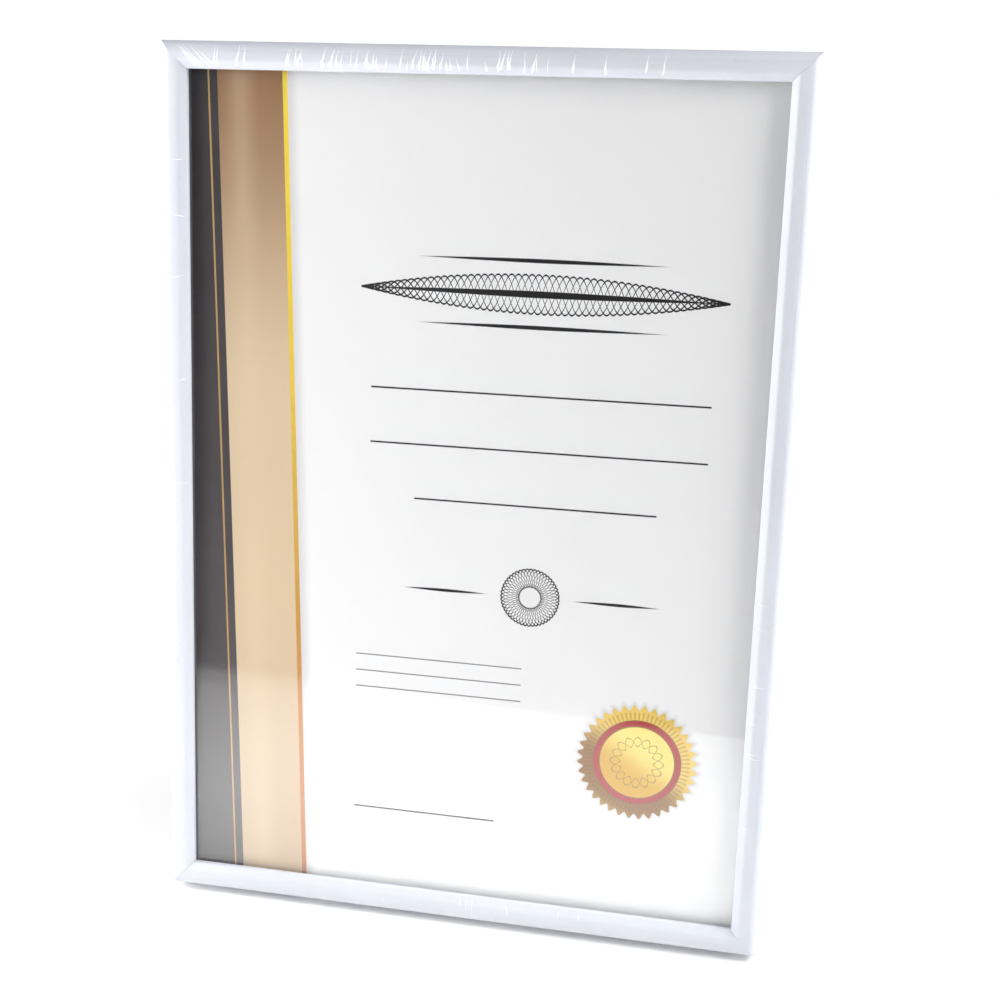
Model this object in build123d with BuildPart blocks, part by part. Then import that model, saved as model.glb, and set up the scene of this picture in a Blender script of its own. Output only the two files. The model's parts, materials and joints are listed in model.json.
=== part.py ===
from build123d import *
import os
from math import cos, radians, sin

# Sheet, glass and backing, in millimetres
sheet_width = 210.0
sheet_height = 297.0
sheet_thickness = 0.2
glass_thickness = 2.0
card_thickness = 1.0
board_thickness = 2.5

# Moulding
moulding_depth = 15.0
wall_thickness = 3.0
rebate_clearance = 0.5
sheet_overlap = 5.5
lip_thickness = 2.0
bevel_width = 2.6
bevel_drop = 1.8
ridge_radius = 2.5
sight_radius = 0.4
slope_width = 3.1
slope_drop = 2.55
slope_bulge_height = 0.55
step_width = 0.3
step_height = 0.15
groove_depth = 1.2
groove_margin = 0.35

# Corner nails, one across each mitre
nail_edge = 1.1
nail_thickness = 0.4
nail_leg = 4.0
nail_height = 6.0

# Rivets
rivet_radius = 1.5
rivet_clearance = 0.05
rivet_head_radius = 2.8
rivet_head_height = 1.0
rivet_tail_radius = 2.3
rivet_tail_height = 0.5
rivet_tail_sink = 0.1
rivet_dome_share = 0.85

# Turn buttons
button_thickness = 0.6
button_play = 0.15
button_reach = 12.0
button_head_radius = 4.5
button_tip_radius = 3.0
button_tip_gap = 0.3
stile_button_offset = 77.0
rail_button_offset = 60.0

# Stand: the frame leans back, the strut leans forwards to meet it; its hinge lies below the upright hanger
lean_angle = 13.0
strut_angle = 5.0
hinge_drop = 47.0
strut_thickness = 2.5
strut_top_width = 36.0
strut_foot_width = 56.0
strut_corner_radius = 4.0
strut_top_gap = 0.5
cut_overrun = 10.0

# Strut hinge
pin_radius = 1.0
pin_clearance = 0.05
pin_head_radius = 1.6
pin_head_thickness = 0.8
leaf_thickness = 0.6
leaf_gap = 0.3
leaf_corner_radius = 3.0
centre_knuckle_length = 14.0
outer_knuckle_length = 9.0
board_leaf_height = 20.0
board_leaf_rivet_spread = 22.0
board_leaf_rivet_rise = 13.0
strut_leaf_width = 26.0
strut_leaf_length = 22.0
strut_leaf_rivet_spread = 14.0
strut_leaf_rivet_drop = 13.0
strut_rivet_head_height = 0.5
heel_length = 4.5

# Hanging rings and their straps, the upright one below the top side, the other in from the right side
wire_radius = 0.8
ring_clearance = 0.05
ring_half_width = 7.0
ring_leg = 5.0
ring_corner_radius = 1.8
strap_thickness = 0.5
strap_width = 8.0
strap_length = 16.0
strap_fold = 4.0
strap_fold_foot = 2.6
strap_rivet_inset = 7.5
upright_hanger_drop = 42.0
sideways_hanger_inset = 24.5

# Levels, measured forwards from the back of the moulding
face_width = wall_thickness + rebate_clearance + sheet_overlap
outer_width = sheet_width + 2 * (rebate_clearance + wall_thickness)
outer_height = sheet_height + 2 * (rebate_clearance + wall_thickness)
sight_level = moulding_depth - bevel_drop
seat_level = sight_level - lip_thickness
glass_back = seat_level - glass_thickness
sheet_back = glass_back - sheet_thickness
card_back = sheet_back - card_thickness
board_back = card_back - board_thickness
button_front = board_back - button_play
button_back = button_front - button_thickness
button_head_seat = button_back - button_play
knuckle_radius = pin_radius + pin_clearance + leaf_thickness
pin_lift = leaf_gap + knuckle_radius
pin_level = board_back - pin_lift
ring_hole_radius = wire_radius + ring_clearance
ring_lift = ring_hole_radius + strap_thickness
upright_hanger_height = outer_height - upright_hanger_drop
sideways_hanger_offset = outer_width / 2 - sideways_hanger_inset
hinge_height = upright_hanger_height - hinge_drop

# The leaning plane: x to the right, y up the frame, z forwards, zero at the back of the bottom edge
lean = radians(lean_angle)
strut_tilt = radians(strut_angle)
front_reach = moulding_depth * cos(lean) - (slope_width + step_width) * sin(lean)
back_reach = outer_height * sin(lean)
lean_plane = Plane(
    origin=(0, (front_reach - back_reach) / 2, 0),
    x_dir=(1, 0, 0),
    z_dir=(0, -cos(lean), sin(lean)),
)
across = Vector(1, 0, 0)
forwards = lean_plane.z_dir
up_frame = lean_plane.y_dir
middle = (0, outer_height / 2)
quarter_turn = 90.0


def side_plane(turns):
    """Middle of an outer side: x along it, y to the middle of the frame; turns count from the bottom side."""
    reach = outer_width / 2 if turns % 2 else outer_height / 2
    along = across.rotate(Axis((0, 0, 0), forwards), quarter_turn * turns)
    inwards = up_frame.rotate(Axis((0, 0, 0), forwards), quarter_turn * turns)
    return Plane(lean_plane.from_local_coords(middle) - inwards * reach, along, forwards)


def panel(back, thickness):
    """Plain sheet of the certificate's size."""
    with BuildPart() as made:
        with BuildSketch(lean_plane.offset(back)):
            with Locations(middle):
                Rectangle(sheet_width, sheet_height)
        extrude(amount=thickness)
    return made


def rivets(seat, spots, head_height, reach):
    """Rivets with the head behind the seat plane and the end of the tail at reach in front of it."""
    with BuildPart() as made:
        with BuildSketch(seat.offset(-head_height)):
            with Locations(*spots):
                Circle(rivet_head_radius)
        extrude(amount=head_height)
        dome = made.edges().group_by(Axis(seat.origin, seat.z_dir), tol_digits=3)[0]
        fillet(dome, head_height * rivet_dome_share)
        with BuildSketch(seat):
            with Locations(*spots):
                Circle(rivet_radius)
        extrude(amount=reach)
        with BuildSketch(seat.offset(reach - rivet_tail_height)):
            with Locations(*spots):
                Circle(rivet_tail_radius)
        extrude(amount=rivet_tail_height)
    return made


# Corner nails, driven from the back, each leg along the wall of one side
with BuildPart() as corner_nails:
    with BuildSketch(lean_plane):
        for x_sign in (-1, 1):
            for y_sign in (-1, 1):
                corner_x = x_sign * (outer_width / 2 - nail_edge)
                corner_y = outer_height / 2 + y_sign * (outer_height / 2 - nail_edge)
                with BuildLine():
                    Polyline(
                        (corner_x, corner_y),
                        (corner_x - x_sign * nail_leg, corner_y),
                        (corner_x - x_sign * nail_leg, corner_y - y_sign * nail_thickness),
                        (corner_x - x_sign * nail_thickness, corner_y - y_sign * nail_thickness),
                        (corner_x - x_sign * nail_thickness, corner_y - y_sign * nail_leg),
                        (corner_x, corner_y - y_sign * nail_leg),
                        close=True,
                    )
                make_face()
    extrude(amount=nail_height)

# Section of the moulding: x runs inwards from the outer side, y forwards from the back
with BuildSketch() as section:
    with BuildLine():
        slope = SagittaArc(
            (0, moulding_depth - slope_drop),
            (slope_width, moulding_depth - step_height),
            slope_bulge_height,
        )
        Polyline(
            slope @ 1,
            (slope_width + step_width, moulding_depth - step_height),
            (slope_width + step_width, moulding_depth),
            (face_width - bevel_width, moulding_depth),
            (face_width, sight_level),
            (face_width, seat_level),
            (wall_thickness, seat_level),
            (wall_thickness, button_front + groove_margin),
            (wall_thickness - groove_depth, button_front + groove_margin),
            (wall_thickness - groove_depth, button_back - groove_margin),
            (wall_thickness, button_back - groove_margin),
            (wall_thickness, 0),
            (0, 0),
            slope @ 0,
        )
    make_face()
    ridge = section.vertices().sort_by_distance((face_width - bevel_width, moulding_depth))[0]
    fillet(ridge, ridge_radius)
    sight_edge = section.vertices().sort_by_distance((face_width, sight_level))[0]
    fillet(sight_edge, sight_radius)


def moulding(turns):
    """One length of moulding, cut to a mitre at both ends and slotted for the corner nails."""
    side = side_plane(turns)
    half_run = outer_height / 2 if turns % 2 else outer_width / 2
    start = Plane(side.from_local_coords((-half_run, 0, 0)), side.y_dir, side.x_dir)
    with BuildPart() as made:
        with BuildSketch(start):
            add(section.sketch)
        extrude(amount=2 * half_run)
        for end in (-1, 1):
            corner = side.from_local_coords((end * half_run, 0, 0))
            split(bisect_by=Plane(corner, z_dir=side.x_dir * -end - side.y_dir), keep=Keep.TOP)
        add(corner_nails.part, mode=Mode.SUBTRACT)
    return made


rail_bottom = moulding(0)
stile_right = moulding(1)
rail_top = moulding(2)
stile_left = moulding(3)

glazing = panel(glass_back, glass_thickness)
certificate_sheet = panel(sheet_back, sheet_thickness)
filler_card = panel(card_back, card_thickness)

# Turn buttons: the pivot of each lies this far in from the outer side
pivot_inset = wall_thickness - groove_depth + button_tip_gap + button_reach
button_places = {
    "turn_button_bottom_left": (0, -rail_button_offset),
    "turn_button_bottom_right": (0, rail_button_offset),
    "turn_button_right_lower": (1, -stile_button_offset),
    "turn_button_right_upper": (1, stile_button_offset),
    "turn_button_top_right": (2, -rail_button_offset),
    "turn_button_top_left": (2, rail_button_offset),
    "turn_button_left_upper": (3, -stile_button_offset),
    "turn_button_left_lower": (3, stile_button_offset),
}


def button_plane(place):
    """Plane at a button's pivot on its back face, with y pointing away from the groove."""
    turns, along = place
    side = side_plane(turns)
    return Plane(side.from_local_coords((along, pivot_inset, button_back)), side.x_dir, forwards)


def turn_button(place):
    """Pear-shaped plate that turns on its rivet, its narrow end in the groove."""
    with BuildPart() as made:
        with BuildSketch(button_plane(place)) as outline:
            Circle(button_head_radius)
            with Locations((0, button_tip_radius - button_reach)):
                Circle(button_tip_radius)
            make_hull(outline.edges())
            Circle(rivet_radius + rivet_clearance, mode=Mode.SUBTRACT)
        extrude(amount=button_thickness)
    return made


buttons = {name: turn_button(place) for name, place in button_places.items()}
button_spots = []
for place in button_places.values():
    spot = lean_plane.to_local_coords(button_plane(place).origin)
    button_spots.append((spot.X, spot.Y))
button_rivets = rivets(
    lean_plane.offset(button_head_seat),
    button_spots,
    rivet_head_height,
    card_back - rivet_tail_sink - button_head_seat,
)

# Strut hinge: the pin runs across the frame; the strut's plane has y up the strut and z towards the board
pin_centre = lean_plane.from_local_coords((0, hinge_height, pin_level))
strut_plane = Plane(pin_centre, across, (0, -cos(strut_tilt), -sin(strut_tilt)))
centre_half = centre_knuckle_length / 2
outer_knuckle_start = centre_half + leaf_gap
outer_knuckle_end = outer_knuckle_start + outer_knuckle_length
strut_leaf_front = pin_lift - strut_rivet_head_height - leaf_gap
strut_front = strut_leaf_front - leaf_thickness
strut_back = strut_front - strut_thickness
board_leaf_spots = [
    (x_sign * board_leaf_rivet_spread / 2, hinge_height + board_leaf_rivet_rise) for x_sign in (-1, 1)
]
strut_leaf_spots = [(x_sign * strut_leaf_rivet_spread / 2, -strut_leaf_rivet_drop) for x_sign in (-1, 1)]


def across_plane(x, up):
    """Plane across the hinge at x, with its origin on the pin, x along up and y towards the board."""
    return Plane(pin_centre + across * x, up, across)


with BuildPart() as hinge_board_leaf:
    with BuildSketch(lean_plane.offset(board_back - leaf_thickness)) as leaf_outline:
        with Locations((0, hinge_height + board_leaf_height / 2)):
            Rectangle(2 * outer_knuckle_end, board_leaf_height)
        fillet(leaf_outline.vertices().group_by(Axis.Y)[-1], leaf_corner_radius)
        notch_height = knuckle_radius + leaf_gap
        with Locations((0, hinge_height + notch_height / 2)):
            Rectangle(2 * outer_knuckle_start, notch_height, mode=Mode.SUBTRACT)
        with Locations(*board_leaf_spots):
            Circle(rivet_radius + rivet_clearance, mode=Mode.SUBTRACT)
    extrude(amount=leaf_thickness)
    for start_x in (-outer_knuckle_end, outer_knuckle_start):
        with BuildSketch(across_plane(start_x, up_frame)):
            Circle(knuckle_radius)
            with Locations((knuckle_radius / 2, pin_lift / 2)):
                Rectangle(knuckle_radius, pin_lift)
            Circle(pin_radius + pin_clearance, mode=Mode.SUBTRACT)
        extrude(amount=outer_knuckle_length)

with BuildPart() as hinge_strut_leaf:
    with BuildSketch(across_plane(-centre_half, up_frame)):
        Circle(knuckle_radius)
        with Locations((heel_length / 2, pin_lift - leaf_gap - leaf_thickness * 3 / 2)):
            Rectangle(heel_length, leaf_thickness)
        Circle(pin_radius + pin_clearance, mode=Mode.SUBTRACT)
    extrude(amount=centre_knuckle_length)
    neck_length = knuckle_radius + leaf_gap
    with BuildSketch(across_plane(-centre_half, strut_plane.y_dir)):
        with Locations((-neck_length / 2, strut_leaf_front - leaf_thickness / 2)):
            Rectangle(neck_length, leaf_thickness)
        Circle(pin_radius + pin_clearance, mode=Mode.SUBTRACT)
    extrude(amount=centre_knuckle_length)
    with BuildSketch(strut_plane.offset(strut_front)) as leaf_outline:
        with Locations((0, -(neck_length + strut_leaf_length) / 2)):
            Rectangle(strut_leaf_width, strut_leaf_length - neck_length)
        fillet(leaf_outline.vertices().group_by(Axis.Y)[0], leaf_corner_radius)
        with Locations(*strut_leaf_spots):
            Circle(rivet_radius + rivet_clearance, mode=Mode.SUBTRACT)
    extrude(amount=leaf_thickness)

with BuildPart() as hinge_pin:
    with BuildSketch(across_plane(-outer_knuckle_end, up_frame)):
        Circle(pin_radius)
    extrude(amount=2 * outer_knuckle_end)
    with BuildSketch(across_plane(outer_knuckle_end, up_frame)):
        Circle(pin_head_radius)
    extrude(amount=pin_head_thickness)
    with BuildSketch(across_plane(-outer_knuckle_end, up_frame)):
        Circle(pin_head_radius)
    extrude(amount=-pin_head_thickness)

hinge_board_rivets = rivets(
    lean_plane.offset(board_back - leaf_thickness),
    board_leaf_spots,
    rivet_head_height,
    card_back - rivet_tail_sink - board_back + leaf_thickness,
)
hinge_strut_rivets = rivets(
    Plane(strut_plane.offset(strut_leaf_front).origin, across, -strut_plane.z_dir),
    [(x, -y) for x, y in strut_leaf_spots],
    strut_rivet_head_height,
    leaf_thickness + strut_thickness + rivet_tail_height,
)

# Strut: tapers up to the hinge; its foot is cut level with the ground
strut_top = -(knuckle_radius + strut_top_gap)
strut_end = -(pin_centre.Z / cos(strut_tilt) + cut_overrun)
with BuildPart() as strut:
    with BuildSketch(strut_plane.offset(strut_back)) as strut_outline:
        with BuildLine():
            Polyline(
                (-strut_top_width / 2, strut_top),
                (-strut_foot_width / 2, strut_end),
                (strut_foot_width / 2, strut_end),
                (strut_top_width / 2, strut_top),
                close=True,
            )
        make_face()
        fillet(strut_outline.vertices().group_by(Axis.Y)[-1], strut_corner_radius)
        with Locations(*strut_leaf_spots):
            Circle(rivet_radius + rivet_clearance, mode=Mode.SUBTRACT)
    extrude(amount=strut_thickness)
    split(bisect_by=Plane.XY, keep=Keep.TOP)

# Hanging rings: y of a hanger's plane points from the rivet to the ring's bar, z away from the board
backwards = -forwards
upright_hanger = Plane(
    lean_plane.from_local_coords((0, upright_hanger_height, board_back)),
    up_frame.cross(backwards),
    backwards,
)
sideways_hanger = Plane(
    lean_plane.from_local_coords((sideways_hanger_offset, outer_height / 2, board_back)),
    across.cross(backwards),
    backwards,
)


def hanger_strap(hanger):
    """Metal strip folded round the ring's bar, its two tails under one rivet."""
    start = Plane(hanger.from_local_coords((-strap_width / 2, 0, 0)), hanger.y_dir, hanger.x_dir)
    with BuildPart() as made:
        with BuildSketch(start):
            with Locations((0, ring_lift)):
                Circle(ring_lift)
            with Locations((-strap_length / 2, strap_thickness / 2)):
                Rectangle(strap_length, strap_thickness)
            with Locations((-(strap_length + strap_fold) / 2, strap_thickness * 3 / 2)):
                Rectangle(strap_length - strap_fold, strap_thickness)
            with BuildLine():
                Polyline(
                    (0, 2 * ring_lift),
                    (-strap_fold, 2 * strap_thickness),
                    (-strap_fold, strap_thickness),
                    (-strap_fold_foot, strap_thickness),
                    (0, 2 * ring_lift - strap_thickness),
                    close=True,
                )
            make_face()
            with Locations((0, ring_lift)):
                Circle(ring_hole_radius, mode=Mode.SUBTRACT)
        extrude(amount=strap_width)
        with BuildSketch(hanger):
            with Locations((0, -strap_rivet_inset)):
                Circle(rivet_radius + rivet_clearance)
        extrude(amount=2 * strap_thickness, mode=Mode.SUBTRACT)
    return made


def hanger_ring(bar_plane):
    """D-shaped wire ring: its bar runs along x of the plane, its loop towards y."""
    with BuildPart() as made:
        with BuildLine(bar_plane) as path:
            FilletPolyline(
                (-ring_half_width, ring_leg),
                (-ring_half_width, 0),
                (ring_half_width, 0),
                (ring_half_width, ring_leg),
                radius=ring_corner_radius,
            )
            ThreePointArc(
                (ring_half_width, ring_leg),
                (0, ring_leg + ring_half_width),
                (-ring_half_width, ring_leg),
            )
        wire = path.wire()
        with BuildSketch(Plane(wire @ 0, z_dir=wire % 0)):
            Circle(wire_radius)
        sweep(path=wire)
    return made


upright_bar = upright_hanger.from_local_coords((0, 0, ring_lift))
sideways_bar = sideways_hanger.from_local_coords((0, 0, ring_lift))
hanger_strap_upright = hanger_strap(upright_hanger)
hanger_strap_sideways = hanger_strap(sideways_hanger)
hanger_ring_upright = hanger_ring(Plane(upright_bar, across, (0, 1, 0)))
hanger_ring_sideways = hanger_ring(Plane(sideways_bar, up_frame, backwards))
hanger_spots = [
    (0, upright_hanger_height - strap_rivet_inset),
    (sideways_hanger_offset - strap_rivet_inset, outer_height / 2),
]
hanger_rivets = rivets(
    lean_plane.offset(board_back - 2 * strap_thickness),
    hanger_spots,
    rivet_head_height,
    card_back - rivet_tail_sink - board_back + 2 * strap_thickness,
)

# Backing board, drilled for every rivet and recessed in front for the tails
with BuildPart() as back_board:
    with BuildSketch(lean_plane.offset(board_back)):
        with Locations(middle):
            Rectangle(sheet_width, sheet_height)
    extrude(amount=board_thickness)
    with Locations(lean_plane.offset(card_back)):
        with Locations(*button_spots, *board_leaf_spots, *hanger_spots):
            CounterBoreHole(
                radius=rivet_radius + rivet_clearance,
                counter_bore_radius=rivet_tail_radius + rivet_clearance,
                counter_bore_depth=rivet_tail_sink + rivet_tail_height,
                depth=board_thickness,
            )

pieces = {
    "rail_top": rail_top,
    "rail_bottom": rail_bottom,
    "stile_left": stile_left,
    "stile_right": stile_right,
    "corner_nails": corner_nails,
    "glazing": glazing,
    "certificate_sheet": certificate_sheet,
    "filler_card": filler_card,
    "back_board": back_board,
    "button_rivets": button_rivets,
    "strut": strut,
    "hinge_board_leaf": hinge_board_leaf,
    "hinge_strut_leaf": hinge_strut_leaf,
    "hinge_pin": hinge_pin,
    "hinge_board_rivets": hinge_board_rivets,
    "hinge_strut_rivets": hinge_strut_rivets,
    "hanger_strap_upright": hanger_strap_upright,
    "hanger_strap_sideways": hanger_strap_sideways,
    "hanger_ring_upright": hanger_ring_upright,
    "hanger_ring_sideways": hanger_ring_sideways,
    "hanger_rivets": hanger_rivets,
    **buttons,
}
os.makedirs("parts", exist_ok=True)
for name, piece in pieces.items():
    piece.part.label = name
    export_step(piece.part, f"parts/{name}.step")

# Places of the moving pieces, for whoever joins them
print("pin centre", pin_centre)
print("up the frame", up_frame, "forwards", forwards)
print("upright ring bar", upright_bar, "sideways ring bar", sideways_bar)
for name, place in button_places.items():
    print(name, button_plane(place).origin)
print("rim back", lean_plane.from_local_coords((outer_width / 2 - wall_thickness / 2, outer_height / 2, 0)))
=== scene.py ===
# %% [markdown]
# A narrow white frame for an A4 certificate leans back on its easel strut.
# The measured model already holds every piece at its real size, each with its own name.
# This file dresses that model: it gives the white moulding its soft edges, the sheet its print,
# the board its fibres and the fittings their plating, and then lights it like a product picture.
# The first cell below loads the measured model.

# %% Load the measured model
import json
import math

import bmesh
import bpy
from mathutils import Euler, Matrix, Vector


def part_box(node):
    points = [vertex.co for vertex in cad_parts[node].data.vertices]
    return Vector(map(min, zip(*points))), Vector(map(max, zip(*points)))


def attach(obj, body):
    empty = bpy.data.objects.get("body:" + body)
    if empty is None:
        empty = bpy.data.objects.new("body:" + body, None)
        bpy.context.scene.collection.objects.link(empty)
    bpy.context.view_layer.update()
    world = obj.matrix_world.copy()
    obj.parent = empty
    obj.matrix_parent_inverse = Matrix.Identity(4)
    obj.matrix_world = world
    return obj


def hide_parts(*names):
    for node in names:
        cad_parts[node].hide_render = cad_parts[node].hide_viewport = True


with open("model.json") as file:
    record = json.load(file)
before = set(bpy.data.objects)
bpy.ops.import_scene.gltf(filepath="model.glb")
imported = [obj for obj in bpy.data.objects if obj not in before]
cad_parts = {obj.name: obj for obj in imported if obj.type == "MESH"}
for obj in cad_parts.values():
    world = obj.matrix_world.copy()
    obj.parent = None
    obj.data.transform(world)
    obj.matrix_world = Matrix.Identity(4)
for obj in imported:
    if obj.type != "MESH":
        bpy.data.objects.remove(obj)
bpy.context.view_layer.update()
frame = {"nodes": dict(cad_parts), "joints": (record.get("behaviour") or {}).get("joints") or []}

# %% [markdown]
# Everything in the frame lies square to a plane that leans back. It is far easier to think in that
# plane: x to the right, y up the frame, z out of the front. The turn buttons turn about the line
# that points out of the front, so their joint gives that direction, and the lowest back edge of
# the bottom rail is a good zero. A matrix then carries any point from the leaning plane to the world.

# %% Find the leaning plane
mm = 0.001
joints = {joint["name"]: joint for joint in frame["joints"]}
across = Vector((1, 0, 0))
forwards = Vector(joints["button_top_left_turn"]["axis"]).normalized()
up_frame = forwards.cross(across)
turned = Matrix((across, up_frame, forwards)).transposed()


def box_of(points):
    """Lowest and highest corner of some points."""
    low = Vector([min(point[axis] for point in points) for axis in range(3)])
    high = Vector([max(point[axis] for point in points) for axis in range(3)])
    return low, high


def lowest_highest(node, to_plane):
    """Lowest and highest corner of a node, measured along the axes of a plane."""
    return box_of([to_plane @ vertex.co for vertex in frame["nodes"][node].data.vertices])


heel = lowest_highest("rail_bottom", turned.transposed())[0]
heel.x = 0
leaning = Matrix.Translation(turned @ heel) @ turned.to_4x4()
levelled = leaning.inverted()
outer_low, outer_high = lowest_highest("stile_left", levelled)
outer_height = outer_high.y
outer_width = -2 * outer_low.x
moulding_depth = outer_high.z
sheet_low, sheet_high = lowest_highest("certificate_sheet", levelled)
print("outside", round(outer_width / mm, 1), "x", round(outer_height / mm, 1), "mm")
print("leans back", round(math.degrees(math.atan2(up_frame.y, up_frame.z)), 1), "degrees")

# %% [markdown]
# Four small helpers do the repeated work. One puts an object in the scene, and one makes it from
# points and faces first. One adds a node to any node tree and wires its inputs, which works for
# shaders and for geometry alike. One turns the shape that a modifier shows into a plain mesh, because
# a finished piece is a plain mesh whose object stands at the origin.


# %% Make an object from points and faces
def linked_object(name, data):
    """An object that shows a mesh, a curve, a lamp or a camera, put in the scene."""
    made = bpy.data.objects.new(name, data)
    bpy.context.scene.collection.objects.link(made)
    return made


def mesh_object(name, points, faces):
    mesh = bpy.data.meshes.new(name)
    mesh.from_pydata([tuple(point) for point in points], [], list(faces))
    mesh.update()
    return linked_object(name, mesh)


# %% Add and wire a node
def add_node(tree, kind, wires=None, **settings):
    """A new node; each input in wires gets a value, or a link where a socket is given."""
    node = tree.nodes.new(kind)
    for name, value in settings.items():
        setattr(node, name, value)
    for key, value in (wires or {}).items():
        if isinstance(value, bpy.types.NodeSocket):
            tree.links.new(value, node.inputs[key])
        else:
            node.inputs[key].default_value = value
    return node


# %% Turn a shown shape into a plain mesh
def plain_mesh(source, name):
    """What an object's modifiers show, as a mesh piece of its own; the source goes."""
    graph = bpy.context.evaluated_depsgraph_get()
    mesh = bpy.data.meshes.new_from_object(source.evaluated_get(graph), depsgraph=graph)
    bpy.data.objects.remove(source)
    mesh.name = name
    made = linked_object(name, mesh)
    shape = bmesh.new()
    shape.from_mesh(mesh)
    volume = shape.calc_volume(signed=True)
    open_edges = sum(not edge.is_manifold for edge in shape.edges)
    shape.free()
    print(name, "faces", len(mesh.polygons), "volume mm3", round(volume / mm**3, 1), "open", open_edges)
    return made


# %% [markdown]
# A material is a small program of its own. These helpers keep the programs short: sums on numbers,
# a soft step from 0 to 1, and a mix of two colours by a mask. Patterns read Object coordinates, in
# metres, so they keep their scale on every piece and stay put from every side.


# %% Sums, steps and mixes for the materials
def maths(tree, operation, *values):
    wires = dict(enumerate(values))
    return add_node(tree, "ShaderNodeMath", wires, operation=operation).outputs[0]


def soft_step(tree, value, start, end):
    """0 before start, 1 after end, smooth between; start may be the larger."""
    wires = {"Value": value, "From Min": start, "From Max": end}
    return add_node(tree, "ShaderNodeMapRange", wires, interpolation_type="SMOOTHSTEP").outputs[0]


def mixed(tree, mask, below, above):
    """below where the mask is 0, above where it is 1."""
    node = add_node(tree, "ShaderNodeMix", {0: mask, 6: below, 7: above}, data_type="RGBA")
    return node.outputs[2]


def noise(tree, vector, scale, detail=3.0, roughness=0.5):
    wires = {"Vector": vector, "Scale": scale, "Detail": detail, "Roughness": roughness}
    return add_node(tree, "ShaderNodeTexNoise", wires).outputs["Fac"]


def colour(red, green, blue):
    """A colour for a socket from the 0 to 255 values seen on a screen."""
    linear = []
    for value in (red, green, blue):
        share = value / 255
        linear.append(share / 12.92 if share <= 0.04045 else ((share + 0.055) / 1.055) ** 2.4)
    return (*linear, 1.0)


def new_material(name):
    """A material with its tree, its main shader and its Object coordinates."""
    material = bpy.data.materials.new(name)
    material.use_nodes = True
    tree = material.node_tree
    shader = tree.nodes["Principled BSDF"]
    place = add_node(tree, "ShaderNodeTexCoord").outputs["Object"]
    return material, tree, shader, place


def drifting_roughness(tree, shader, value, smoothest, roughest):
    """Roughness that follows a noise, from the smoothest to the roughest."""
    wires = {"Value": value, "From Min": 0.3, "From Max": 0.7, "To Min": smoothest, "To Max": roughest}
    drift = add_node(tree, "ShaderNodeMapRange", wires)
    tree.links.new(drift.outputs[0], shader.inputs["Roughness"])


def add_bump(tree, shader, height, distance, strength=1.0):
    """Fine relief of a surface; distance is how deep it is, in metres."""
    wires = {"Height": height, "Distance": distance, "Strength": strength}
    bump = add_node(tree, "ShaderNodeBump", wires)
    tree.links.new(bump.outputs["Normal"], shader.inputs["Normal"])


# %% [markdown]
# The moulding is a white wrapped profile with a satin skin. A real white is never one number: it is
# a little cooler in some places, the wrap has a faint orange peel, and handling polishes it here and
# there. Noises of different sizes do that, for colour, for roughness and for relief. The scale of a
# noise says how many of its cells fit in a metre.

# %% White satin wrap
tone_scale = 18.0
speck_scale = 420.0
handling_scale = 60.0
peel_scale = 900.0
peel_depth = 0.02 * mm
white_wrap, tree, shader, place = new_material("white_wrap")
drift = noise(tree, place, tone_scale)
specks = noise(tree, place, speck_scale, 4.0)
warm = mixed(tree, soft_step(tree, drift, 0.3, 0.7), colour(203, 206, 215), colour(208, 211, 219))
cold = mixed(tree, soft_step(tree, specks, 0.62, 0.8), warm, colour(196, 200, 210))
tree.links.new(cold, shader.inputs["Base Color"])
drifting_roughness(tree, shader, noise(tree, place, handling_scale), 0.36, 0.5)
shader.inputs["Coat Weight"].default_value = 0.12
shader.inputs["Coat Roughness"].default_value = 0.22
add_bump(tree, shader, noise(tree, place, peel_scale, 2.0), peel_depth)
print("made", white_wrap.name)

# %% [markdown]
# The moulding's section follows a rule, so it is drawn once and swept. Its section, from the outer
# side inwards: a rounded slope, a tiny step, a nearly flat band, and a bevel that falls to the glass.
# Behind lie the rebate that holds the glass and the groove that takes the turn buttons. Real edges
# are never sharp: each corner of the outline is replaced by a small arc, which catches the light.

# %% Outline of the moulding, as levels above the back and distances from the outer side
wall = 3.0 * mm
face_width = 9.0 * mm
bevel_width = 2.6 * mm
bevel_drop = 1.8 * mm
slope_width = 3.1 * mm
slope_drop = 2.55 * mm
slope_bulge = 0.55 * mm
step_width = 0.3 * mm
step_height = 0.15 * mm
seat_level = 11.2 * mm
groove_low = 4.4 * mm
groove_high = 5.7 * mm
groove_depth = 1.2 * mm
ridge_radius = 2.5 * mm
sight_radius = 0.4 * mm
edge_radius = 0.25 * mm
crease_radius = 0.06 * mm


def rounded(points, radii, steps=6):
    """A closed outline whose corners are arcs of the given radii; 0 keeps a corner sharp."""
    made = []
    for index, (point, radius) in enumerate(zip(points, radii)):
        here = Vector(point)
        if not radius:
            made.append(here)
            continue
        before = (Vector(points[index - 1]) - here).normalized()
        after = (Vector(points[(index + 1) % len(points)]) - here).normalized()
        half = before.angle(after) / 2
        centre = here + (before + after).normalized() * radius / math.sin(half)
        start = here + before * radius / math.tan(half) - centre
        sweep = (here + after * radius / math.tan(half) - centre).angle_signed(start)
        for step in range(steps + 1):
            made.append(centre + Matrix.Rotation(sweep * step / steps, 2) @ start)
    return made


def bulged(start, end, bulge, steps=10):
    """Points on the arc from start to end that bulges to the left of that line."""
    start, end = Vector(start), Vector(end)
    half = (end - start).length / 2
    radius = (half**2 + bulge**2) / (2 * bulge)
    aside = (end - start).orthogonal().normalized()
    centre = (start + end) / 2 - aside * (radius - bulge)
    spoke = start - centre
    sweep = (end - centre).angle_signed(spoke)
    return [centre + Matrix.Rotation(sweep * step / steps, 2) @ spoke for step in range(steps + 1)]


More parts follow.
